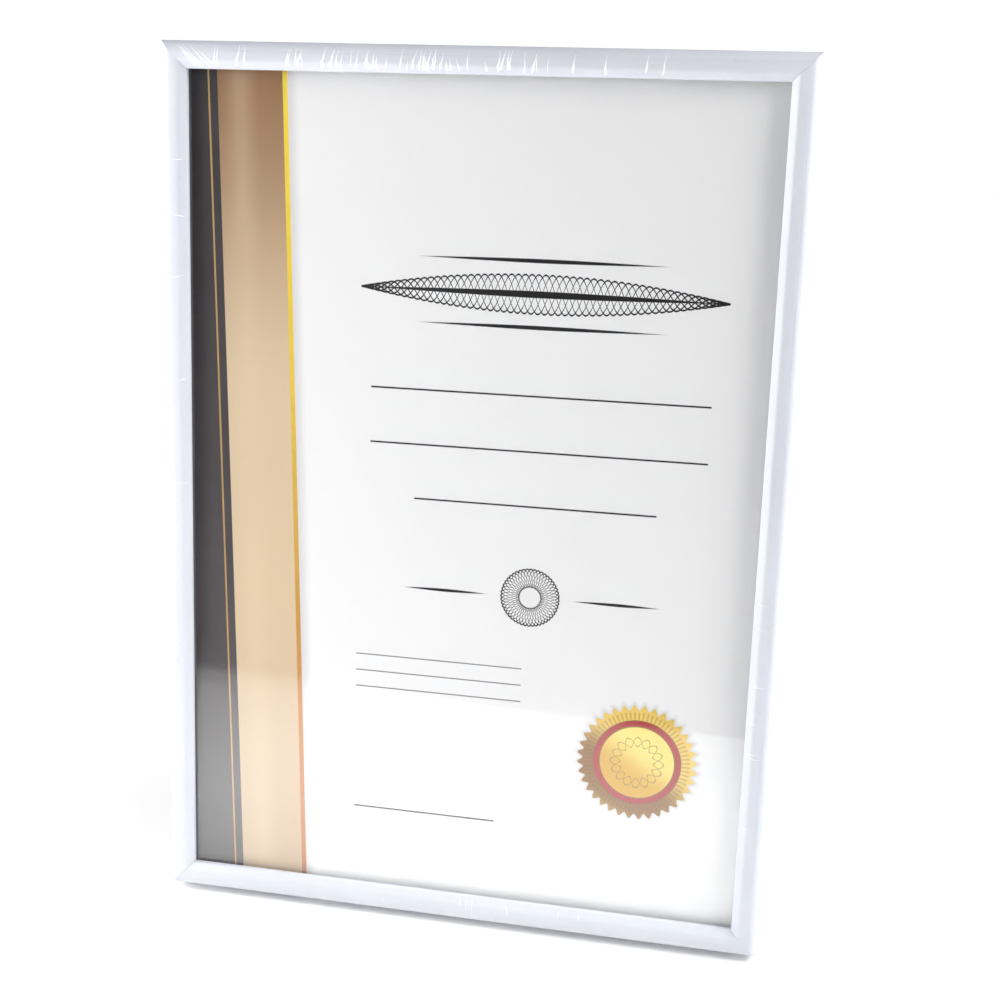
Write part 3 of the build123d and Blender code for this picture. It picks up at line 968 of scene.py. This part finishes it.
print("seal", 2 * seal_radius, "mm across, teeth", teeth)

# %% Put the print on the sheet
paper_relief = 0.01 * mm
tree.links.new(printed, shader.inputs["Base Color"])
drifting_roughness(tree, shader, fibres, 0.36, 0.5)
add_bump(tree, shader, fibres, paper_relief)
dress("certificate_sheet", certificate_print)
print("nodes in the print", len(tree.nodes))

# %% [markdown]
# Behind the sheet lies a grey filler card, and behind that the backing board. Board and strut are
# hardboard: brown fibres pressed hard, with darker and paler flecks, and on the back the print of
# the wire mesh that the wet board lay on. A stretched noise gives the fibres, and two sine waves
# across each other give the mesh.

# %% Grey board and hardboard
fleck_scale = 700.0
fleck_depth = 0.05 * mm
grey_board, tree, shader, place = new_material("grey_board")
flecks = noise(tree, place, fleck_scale, 5.0, 0.7)
fleck_mask = soft_step(tree, flecks, 0.35, 0.7)
card_colour = mixed(tree, fleck_mask, colour(168, 160, 148), colour(196, 188, 175))
tree.links.new(card_colour, shader.inputs["Base Color"])
drifting_roughness(tree, shader, flecks, 0.85, 0.95)
add_bump(tree, shader, flecks, fleck_depth)
dress("filler_card", grey_board)

hardboard, tree, shader, place = new_material("hardboard")
leaning_place = add_node(
    tree,
    "ShaderNodeMapping",
    {"Vector": place, "Rotation": turned.to_euler(), "Scale": (mm, mm, mm)},
    vector_type="TEXTURE",
).outputs[0]
mottle = noise(tree, leaning_place, 0.035, 4.0, 0.6)
fibre = noise(tree, leaning_place, 1.3, 6.0, 0.75)
fleck = noise(tree, leaning_place, 0.45, 3.0, 0.5)
brown = mixed(tree, soft_step(tree, mottle, 0.35, 0.65), colour(118, 84, 56), colour(138, 100, 68))
brown = mixed(tree, soft_step(tree, fibre, 0.45, 0.8), brown, colour(168, 130, 92))
brown = mixed(tree, soft_step(tree, fleck, 0.64, 0.76), brown, colour(84, 58, 38))
tree.links.new(brown, shader.inputs["Base Color"])
drifting_roughness(tree, shader, mottle, 0.62, 0.8)
mesh_place = add_node(tree, "ShaderNodeSeparateXYZ", {0: leaning_place})
mesh_pitch = 1.5
wave_u = maths(tree, "SINE", maths(tree, "MULTIPLY", mesh_place.outputs["X"], 2 * math.pi / mesh_pitch))
wave_v = maths(tree, "SINE", maths(tree, "MULTIPLY", mesh_place.outputs["Y"], 2 * math.pi / mesh_pitch))
screen = maths(tree, "MULTIPLY", wave_u, wave_v)
relief = maths(tree, "ADD", maths(tree, "MULTIPLY", screen, 0.5), fibre)
board_relief = 0.12 * mm
add_bump(tree, shader, relief, board_relief)
print("boards", grey_board.name, hardboard.name)

# %% [markdown]
# The fittings are thin steel with a zinc plating, and the rings are nickel plated wire. Plating is
# metal, so its colour is in the reflection: Metallic 1, a roughness that drifts with handling, and
# fine scratches along the sheet from rolling.


# %% Plated steel
cloud_scale = 160.0
scratch_scales = (300.0, 4000.0, 4000.0)
scratch_depth = 0.008 * mm


def plated(name, tint, shaded_tint, smoothest, roughest):
    material, tree, shader, place = new_material(name)
    cloud = noise(tree, place, cloud_scale, 4.0, 0.6)
    tone = mixed(tree, soft_step(tree, cloud, 0.3, 0.7), tint, shaded_tint)
    tree.links.new(tone, shader.inputs["Base Color"])
    shader.inputs["Metallic"].default_value = 1.0
    wires = {"Vector": place, "Scale": scratch_scales}
    drawn = add_node(tree, "ShaderNodeMapping", wires).outputs[0]
    scratches = noise(tree, drawn, 1.0, 2.0, 0.5)
    wear = maths(tree, "MULTIPLY", maths(tree, "ADD", cloud, scratches), 0.5)
    drifting_roughness(tree, shader, wear, smoothest, roughest)
    add_bump(tree, shader, scratches, scratch_depth)
    return material


zinc = plated("zinc_plate", colour(180, 182, 185), colour(160, 161, 161), 0.22, 0.42)
rivet_zinc = plated("rivet_zinc", colour(190, 188, 183), colour(172, 169, 163), 0.25, 0.4)
nickel = plated("nickel_plate", colour(194, 190, 182), colour(178, 174, 166), 0.12, 0.28)
print("plated", zinc.name, rivet_zinc.name, nickel.name)

# %% [markdown]
# Pressed steel and cut board never have knife edges. The measured pieces are right in shape, so each
# is copied, its loose triangles are merged into whole faces, and a Bevel modifier rounds every edge
# by a tenth of a millimetre or two. The big flat faces stay flat shaded, so they stay flat to the eye.


# %% Ease the edges of a measured piece
merge_distance = 0.001 * mm
flat_within = math.radians(1)
bevel_from = math.radians(40)
smooth_to = math.radians(50)


def eased_copy(node, body, radius, material):
    """A measured piece with rounded edges, which stands for it."""
    shape = bmesh.new()
    shape.from_mesh(frame["nodes"][node].data)
    bmesh.ops.remove_doubles(shape, verts=shape.verts, dist=merge_distance)
    bmesh.ops.dissolve_limit(shape, angle_limit=flat_within, verts=shape.verts, edges=shape.edges)
    mesh = bpy.data.meshes.new(node)
    shape.to_mesh(mesh)
    shape.free()
    mesh.materials.append(material)
    made = linked_object(node + "_whole", mesh)
    bevel = made.modifiers.new("eased", "BEVEL")
    bevel.width = radius
    bevel.segments = 2
    bevel.limit_method = "ANGLE"
    bevel.angle_limit = bevel_from
    bevel.use_clamp_overlap = False
    piece = plain_mesh(made, node + "_eased")
    for polygon in piece.data.polygons:
        polygon.use_smooth = len(polygon.vertices) <= 4
    piece.data.set_sharp_from_angle(angle=smooth_to)
    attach(piece, body)
    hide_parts(node)
    return piece


board_edge = 0.25 * mm
plate_edge = 0.12 * mm
eased_copy("back_board", "frame", board_edge, hardboard)
eased_copy("strut", "easel_strut", board_edge, hardboard)
eased_copy("hinge_board_leaf", "frame", plate_edge, zinc)
eased_copy("hinge_strut_leaf", "easel_strut", plate_edge, zinc)
eased_copy("hanger_strap_upright", "frame", plate_edge, zinc)
eased_copy("hanger_strap_sideways", "frame", plate_edge, zinc)
for joint_name, joint in joints.items():
    if joint_name.startswith("button_"):
        body = joint["child"]
        eased_copy("turn_" + body, body, plate_edge, zinc)

# %% [markdown]
# Rivets and the hinge pin are turned shapes: one outline, spun about its middle. The tree spins the
# outline once and sets it at every place that it is given, so eight rivets cost no more work than
# one. The head is a low dome. The tail is hollow and rolled over, which leaves a small crater.

# %% The tree that spins an outline and sets it out
spun_parts, given, result = geometry_tree(
    "spun_parts",
    {
        "Outline": "NodeSocketObject",
        "Sides": "NodeSocketInt",
        "Turn": "NodeSocketVector",
        "Material": "NodeSocketMaterial",
    },
)
tree = spun_parts
drawn = add_node(tree, "GeometryNodeObjectInfo", {"Object": given["Outline"]})
outline_line, outline_point = captured(tree, drawn.outputs["Geometry"], "Place in the outline")
circle = add_node(
    tree,
    "GeometryNodeCurvePrimitiveCircle",
    {"Resolution": given["Sides"], "Radius": 1.0},
)
circle_line, circle_point = captured(tree, circle.outputs[0], "Place on the circle")
spun = add_node(tree, "GeometryNodeCurveToMesh", {"Curve": circle_line, "Profile Curve": outline_line})
outline_place = add_node(tree, "ShaderNodeSeparateXYZ", {0: outline_point})
spoke = vector_maths(tree, "SCALE", circle_point, outline_place.outputs["X"])
rise = add_node(tree, "ShaderNodeCombineXYZ", {"Z": outline_place.outputs["Y"]})
placed = vector_sum(tree, spoke, rise.outputs[0])
moved = add_node(tree, "GeometryNodeSetPosition", {"Geometry": spun.outputs[0], "Position": placed})
closed = add_node(
    tree,
    "GeometryNodeMergeByDistance",
    {"Geometry": moved.outputs[0], "Distance": merge_distance},
)
outwards = add_node(tree, "GeometryNodeFlipFaces", {0: closed.outputs[0]})
turned_part = shaded(tree, outwards.outputs[0])
set_out = add_node(
    tree,
    "GeometryNodeInstanceOnPoints",
    {"Points": given["Geometry"], "Instance": turned_part, "Rotation": given["Turn"]},
)
finish_tree(tree, set_out.outputs[0], given["Material"], result)


def spin(outline, places, axes, material, name, sides=32):
    """A turned part at each place, its axis along the z of the axes given."""
    drawing = outline_curve(outline, closed=False)
    values = {"Outline": drawing, "Sides": sides, "Turn": axes.to_euler(), "Material": material}
    made = run_tree(mesh_object("places", places, []), spun_parts, values, name)
    bpy.data.objects.remove(drawing)
    return made


# %% Outline of a rivet and the places of the rivets
rivet_radius = 1.5 * mm
head_radius = 2.8 * mm
head_rim = 0.2 * mm
tail_radius = 2.3 * mm
tail_height = 0.5 * mm
tail_roll = 0.12 * mm
tail_edge = 0.2 * mm
crater_radius = 0.9 * mm
crater_lip = 0.15 * mm
crater_depth = 0.35 * mm
crater_floor_share = 0.6
dome_share = 0.22
rivet_clearance = 0.2 * mm


def rivet_outline(head_height, reach):
    """From the top of the head to the bottom of the crater; the seat of the head is at 0."""
    dome_bulge = (head_height - head_rim) * dome_share
    dome = bulged((0, -head_height), (head_radius, -head_rim), dome_bulge, steps=8)
    tail_corners = [
        ((head_radius, 0), 0),
        ((rivet_radius, 0), 0),
        ((rivet_radius, reach - tail_height), 0),
        ((tail_radius, reach - tail_height), tail_roll),
        ((tail_radius - tail_height / 2, reach), tail_edge),
        ((crater_radius, reach), crater_lip),
        ((crater_radius * crater_floor_share, reach - crater_depth), 0),
        ((0, reach - crater_depth), 0),
    ]
    corners = [corner for corner, radius in tail_corners]
    radii = [radius for corner, radius in tail_corners]
    return dome + rounded(corners, radii, steps=3)


def separate_places(node, to_plane, apart):
    """Middle of each separate solid of a node in a plane's axes, with its lowest and highest level."""
    groups = []
    for vertex in frame["nodes"][node].data.vertices:
        point = to_plane @ vertex.co
        near = [group for group in groups if (group[0].xy - point.xy).length < apart]
        if near:
            near[0].append(point)
        else:
            groups.append([point])
    found = []
    for group in groups:
        low, high = box_of(group)
        found.append(((low + high) / 2, low.z, high.z))
    return found


def set_rivets(node, body, plane, head_height):
    """Rivets of one node, their heads at the low side of the plane given."""
    found = separate_places(node, plane.inverted(), apart=2 * head_radius + rivet_clearance)
    low, high = found[0][1:]
    seats = [plane @ Vector((middle.x, middle.y, low + head_height)) for middle, *levels in found]
    outline = rivet_outline(head_height, high - low - head_height)
    piece = spin(outline, seats, plane.to_3x3(), rivet_zinc, node + "_turned")
    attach(piece, body)
    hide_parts(node)
    print(node, len(seats))


def axes_with(z_axis):
    """Axes with x across the frame and z along the direction given."""
    return Matrix((across, z_axis.cross(across), z_axis)).transposed()


board_head = 1.0 * mm
strut_head = 0.5 * mm
for node in ("button_rivets", "hinge_board_rivets", "hanger_rivets"):
    set_rivets(node, "frame", leaning, board_head)
strut_faces = frame["nodes"]["strut"].data.polygons
strut_back = max(strut_faces, key=lambda face: (face.area * (face.normal.y > 0.5))).normal
strut_plane = axes_with(strut_back.normalized()).to_4x4()
set_rivets("hinge_strut_rivets", "easel_strut", strut_plane, strut_head)

# %% Hinge pin, headed at both ends
pin_low, pin_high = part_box("hinge_pin")
pin_radius = 1.0 * mm
pin_head_radius = (pin_high[2] - pin_low[2]) / 2
pin_head = 0.8 * mm
pin_head_rim = 0.25 * mm
pin_dome = 0.12 * mm
pin_middle = Vector([(low + high) / 2 for low, high in zip(pin_low, pin_high)])
half_pin = (pin_high[0] - pin_low[0]) / 2
dome = bulged((0, -half_pin), (pin_head_radius, pin_head_rim - half_pin), pin_dome, steps=6)
waist = [(pin_head_radius, pin_head - half_pin), (pin_radius, pin_head - half_pin)]
half_outline = dome + [Vector(point) for point in waist]
other_half = [Vector((point.x, -point.y)) for point in reversed(half_outline)]
pin_axes = Matrix((up_frame, forwards, across)).transposed()
pin = spin(half_outline + other_half, [pin_middle], pin_axes, zinc, "pin_turned")
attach(pin, "frame")
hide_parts("hinge_pin")

# %% [markdown]
# Each hanging ring is a length of wire bent to a D, with its flat side held in a folded strap. Its
# shape is a path with one round section, so a tree sweeps a circle along the bent path.

# %% The tree that draws a wire along a path
bent_wire, given, result = geometry_tree(
    "bent_wire",
    {"Wire radius": "NodeSocketFloat", "Sides": "NodeSocketInt", "Material": "NodeSocketMaterial"},
)
tree = bent_wire
wire_section = add_node(
    tree,
    "GeometryNodeCurvePrimitiveCircle",
    {"Resolution": given["Sides"], "Radius": given["Wire radius"]},
)
drawn_wire = add_node(
    tree,
    "GeometryNodeCurveToMesh",
    {"Curve": given["Geometry"], "Profile Curve": wire_section.outputs[0]},
)
finish_tree(tree, shaded(tree, drawn_wire.outputs[0]), given["Material"], result)

# %% Bend the two rings
wire_radius = 0.8 * mm
ring_half_width = 7.0 * mm
ring_leg = 5.0 * mm
ring_corner = 1.8 * mm
ring_steps = 28
backwards = -forwards


def ring_path(bar, along, drop):
    """The D in the plane of two directions; its bar lies at the joint."""
    loop = [
        (
            ring_half_width * math.cos(math.pi * step / ring_steps),
            ring_leg + ring_half_width * math.sin(math.pi * step / ring_steps),
        )
        for step in range(ring_steps + 1)
    ]
    corners = rounded(
        [loop[-1], (-ring_half_width, 0), (ring_half_width, 0), loop[0]],
        [0, ring_corner, ring_corner, 0],
    )
    return [bar + along * point[0] + drop * point[1] for point in corners + loop[1:-1]]


ring_directions = {
    "upright_ring": (across, Vector((0, 0, -1))),
    "sideways_ring": (up_frame, backwards.cross(up_frame)),
}
for body, (along, drop) in ring_directions.items():
    bar = Vector(joints[body + "_swing"]["pos_m"])
    path = outline_curve(ring_path(bar, along, drop))
    values = {"Wire radius": wire_radius, "Sides": 20, "Material": nickel}
    ring = run_tree(path, bent_wire, values, body + "_wire")
    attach(ring, body)
    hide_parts("hanger_ring_" + body.split("_")[0])

# %% [markdown]
# Across each mitre at the back sits a bent steel nail, driven in almost flush. The four are one part
# turned by a quarter from corner to corner, so the tree takes the corner number times 90 degrees.

# %% The tree that sets one part at each corner
corner_parts, given, result = geometry_tree(
    "corner_parts",
    {
        "Part": "NodeSocketObject",
        "Foot": "NodeSocketVector",
        "Turn": "NodeSocketVector",
        "Material": "NodeSocketMaterial",
    },
)
tree = corner_parts
part = add_node(tree, "GeometryNodeObjectInfo", {"Object": given["Part"]})
corner_number = add_node(tree, "GeometryNodeInputIndex").outputs[0]
quarter = maths(tree, "MULTIPLY", corner_number, math.pi / 2)
quarter_turn = add_node(tree, "ShaderNodeCombineXYZ", {"Z": quarter}).outputs[0]
at_corners = add_node(
    tree,
    "GeometryNodeInstanceOnPoints",
    {"Points": given["Geometry"], "Instance": part.outputs["Geometry"], "Rotation": quarter_turn},
)
leaned = add_node(
    tree,
    "GeometryNodeTransform",
    {"Geometry": at_corners.outputs[0], "Translation": given["Foot"], "Rotation": given["Turn"]},
)
finish_tree(tree, leaned.outputs[0], given["Material"], result)

# %% Drive the corner nails
nail_edge = 1.1 * mm
nail_thickness = 0.4 * mm
nail_leg = 4.0 * mm
nail_height = 6.0 * mm
nail_proud = 0.06 * mm
nail_outline = [
    (0, 0),
    (nail_leg, 0),
    (nail_leg, nail_thickness),
    (nail_thickness, nail_thickness),
    (nail_thickness, nail_leg),
    (0, nail_leg),
]
nail_points = [(x, y, z) for z in (-nail_proud, nail_height) for x, y in nail_outline]
count = len(nail_outline)
nail_sides = [(i, (i + 1) % count, (i + 1) % count + count, i + count) for i in range(count)]
nail_ends = [tuple(reversed(range(count))), tuple(range(count, 2 * count))]
nail = mesh_object("nail", nail_points, nail_ends + nail_sides)
near = nail_edge - outer_width / 2
far = outer_width / 2 - nail_edge
top = outer_height - nail_edge
nail_corners = [(near, nail_edge, 0), (far, nail_edge, 0), (far, top, 0), (near, top, 0)]
values = {"Part": nail, "Foot": leaning.translation, "Turn": turned.to_euler(), "Material": zinc}
nails = run_tree(mesh_object("nail_places", nail_corners, []), corner_parts, values, "nails_driven")
bpy.data.objects.remove(nail)
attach(nails, "frame")
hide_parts("corner_nails")

# %% [markdown]
# The camera stands a little to the right of the frame and above it, and looks down at it. Its place
# was found from the corners of the frame in the picture. Azimuth turns it about the upright axis,
# elevation tips it, and a small roll levels the picture as it was taken.

# %% Camera
camera_place = Vector((0.1083, -0.4576, 0.3712))
camera_azimuth = math.radians(12.0)
camera_elevation = math.radians(25.04)
camera_roll = math.radians(-0.76)
camera = linked_object("camera", bpy.data.cameras.new("camera"))
camera.data.sensor_width = 36.0
camera.data.lens = 54.2
camera.data.clip_start = 0.01
sight_turn = Euler((math.pi / 2 - camera_elevation, 0, camera_azimuth)).to_matrix()
sight_turn = sight_turn @ Matrix.Rotation(camera_roll, 3, "Z")
camera.matrix_world = Matrix.Translation(camera_place) @ sight_turn.to_4x4()
bpy.context.scene.camera = camera
print("camera at", [round(value, 3) for value in camera_place])

# %% [markdown]
# The frame stands on a plain white table. The table ends a little way in front of the frame, and the
# glass mirrors that edge: below it the glass shows the bright table, above it the darker room. The
# table is turned with the camera, so that the mirrored edge runs as it does in the picture.

# %% Table
table_front = 0.61
table_back = 1.0
table_half_width = 1.0
floor_turn = Matrix.Rotation(camera_azimuth, 3, "Z")
floor_corners = [
    floor_turn @ Vector((x, y, 0))
    for x, y in (
        (-table_half_width, -table_front),
        (table_half_width, -table_front),
        (table_half_width, table_back),
        (-table_half_width, table_back),
    )
]
floor = mesh_object("floor", floor_corners, [(0, 1, 2, 3)])
grain_scale = 30.0
table_white, tree, shader, place = new_material("table_white")
grain = noise(tree, place, grain_scale)
table_tone = mixed(tree, grain, colour(250, 250, 250), colour(252, 252, 252))
tree.links.new(table_tone, shader.inputs["Base Color"])
shader.inputs["Roughness"].default_value = 0.7
floor.data.materials.append(table_white)
print("table ends", table_front, "m in front and", table_back, "m behind")

# %% [markdown]
# Around the table stands a light tent, which is the world. It has one even level all round, and walls
# that glow: the dot product of a direction with the wall's own direction says how much a place faces
# that wall. A camera ray that misses the table meets a plain pale backdrop, which lights nothing.

# %% Light tent
world = bpy.data.worlds.new("tent")
bpy.context.scene.world = world
world.use_nodes = True
tree = world.node_tree
background = tree.nodes["Background"]
direction = add_node(tree, "ShaderNodeTexCoord").outputs["Generated"]
all_round_level = 0.6
tent_walls = [
    # direction, the cosines at which its glow starts and is full, level
    (Vector((-1.0, -0.3, 0.0)), 0.1, 0.95, 2.0),
    (Vector((1.0, 0.1, 0.0)), 0.3, 0.9, 3.0),
    (Vector((0.0, 1.0, 0.35)), 0.0, 0.9, 0.25),
]
brightness = all_round_level
for wall_direction, starts, full, level in tent_walls:
    facing = vector_maths(tree, "DOT_PRODUCT", direction, wall_direction.normalized())
    glow = maths(tree, "MULTIPLY", soft_step(tree, facing, starts, full), level)
    brightness = maths(tree, "ADD", brightness, glow)
tree.links.new(brightness, background.inputs["Strength"])
backdrop = add_node(tree, "ShaderNodeBackground", {"Color": colour(252, 252, 253), "Strength": 1.05})
seen = add_node(tree, "ShaderNodeLightPath").outputs["Is Camera Ray"]
wires = {0: seen, 1: background.outputs[0], 2: backdrop.outputs[0]}
tent = add_node(tree, "ShaderNodeMixShader", wires)
tree.links.new(tent.outputs[0], tree.nodes["World Output"].inputs["Surface"])
print("walls that glow", len(tent_walls))

# %% [markdown]
# Softboxes make the light fall off from left to right. Three of them stand for a window on the left,
# and two panels fill in from the right. All of them look at the middle of the frame.


# %% Softboxes
def softbox(name, place, aim, width, height, power):
    """A rectangular lamp that looks at a point."""
    lamp = bpy.data.lights.new(name, "AREA")
    lamp.shape = "RECTANGLE"
    lamp.size = width
    lamp.size_y = height
    lamp.energy = power
    made = linked_object(name, lamp)
    made.location = place
    made.rotation_euler = (Vector(aim) - Vector(place)).to_track_quat("-Z", "Y").to_euler()
    return made


frame_middle = leaning @ Vector((0, outer_height / 2, moulding_depth))
softboxes = [
    # name, place, what it looks at, width, height, watts
    ("window_side", (-0.6, 0.05, 0.25), frame_middle, 0.5, 0.5, 2.9),
    ("window_near", (-0.5, -0.2, 0.3), frame_middle, 0.4, 0.5, 3.0),
    ("window_front", (-0.75, -0.55, 0.3), frame_middle, 0.6, 0.6, 0.6),
    ("panel_right", (0.9, -0.15, 0.35), frame_middle, 0.7, 0.7, 3.9),
    ("panel_right_high", (0.7, -0.1, 0.8), frame_middle, 0.5, 0.5, 8.0),
]
for softbox_words in softboxes:
    softbox(*softbox_words)
print("softboxes", len(softboxes))

# %% [markdown]
# The white ground of a product picture is brighter than the object. Five lamps hang above the table
# and look straight down. Their spread, an angle in radians, is narrow, so they light the table and
# leave the frame nearly alone. The glass mirrors the table under the first three.

# %% Table lamps
table_lamp_height = 0.9
table_lamps = [
    # name, x, y, width, height, spread, watts
    ("table_left", -0.32, -0.46, 0.2, 0.2, 0.75, 0.6),
    ("table_middle", -0.05, -0.38, 0.2, 0.2, 0.75, 0.6),
    ("table_front", -0.06, -0.2, 0.4, 0.1, 0.3, 0.6),
    ("table_beside", 0.4, 0.2, 0.3, 0.3, 0.75, 1.0),
    ("table_behind", 0.0, 0.8, 1.9, 0.9, 0.75, 10.0),
]
for name, lamp_x, lamp_y, width, height, spread, watts in table_lamps:
    place_above = (lamp_x, lamp_y, table_lamp_height)
    lamp = softbox(name, place_above, (lamp_x, lamp_y, 0.0), width, height, watts)
    lamp.data.spread = spread
print("table lamps", len(table_lamps))

# %% [markdown]
# The picture's tones are shown as they come, without a film curve, so that white paper stays white.

# %% Tones as they come
view_settings = bpy.context.scene.view_settings
view_settings.view_transform = "Standard"
print("tones", view_settings.view_transform)
